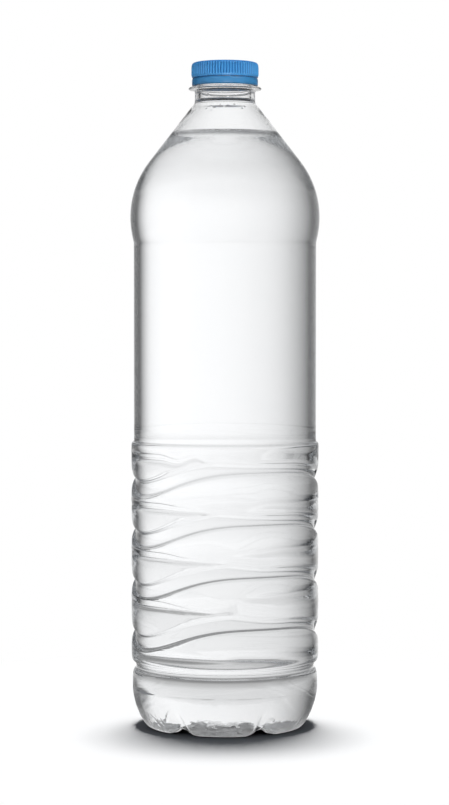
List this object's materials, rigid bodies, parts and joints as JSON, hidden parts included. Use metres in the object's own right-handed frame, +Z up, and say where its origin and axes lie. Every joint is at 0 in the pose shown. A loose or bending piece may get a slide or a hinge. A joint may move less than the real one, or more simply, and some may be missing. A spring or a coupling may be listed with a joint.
{
  "type": "plastic water bottle",
  "caption": "Full, sealed clear plastic water bottle with a ribbed screw cap and a tamper band; stands on a footed base.",
  "frame": {"origin": "centre of the base, on the plane that the feet stand on", "axes": "+Z up along the bottle's axis, -Y towards the front"},
  "size_m": [0.0878, 0.0878, 0.3084],
  "materials": {
    "clear_plastic": "clear, glossy",
    "water": "clear liquid",
    "cap_blue": "satin",
    "band_blue": "satin"
  },
  "bodies": {
    "body": {"bottle": "clear_plastic", "water": "water"},
    "band": {"tamper_band": "band_blue"},
    "closure": {"cap": "cap_blue"}
  },
  "joints": [
    {"name": "cap_turn", "type": "hinge", "parent": "body", "child": "band", "pos_m": [0, 0, 0.3007], "axis": [0, 0, 1], "range_deg": [0, 450]},
    {"name": "cap_lift", "type": "slide", "parent": "band", "child": "closure", "axis": [0, 0, 1], "range_m": [0, 0.0034]}
  ],
  "couplings": [
    {"joint": "cap_lift", "follows": "cap_turn", "m_per_rad": 0.00042972}
  ]
}
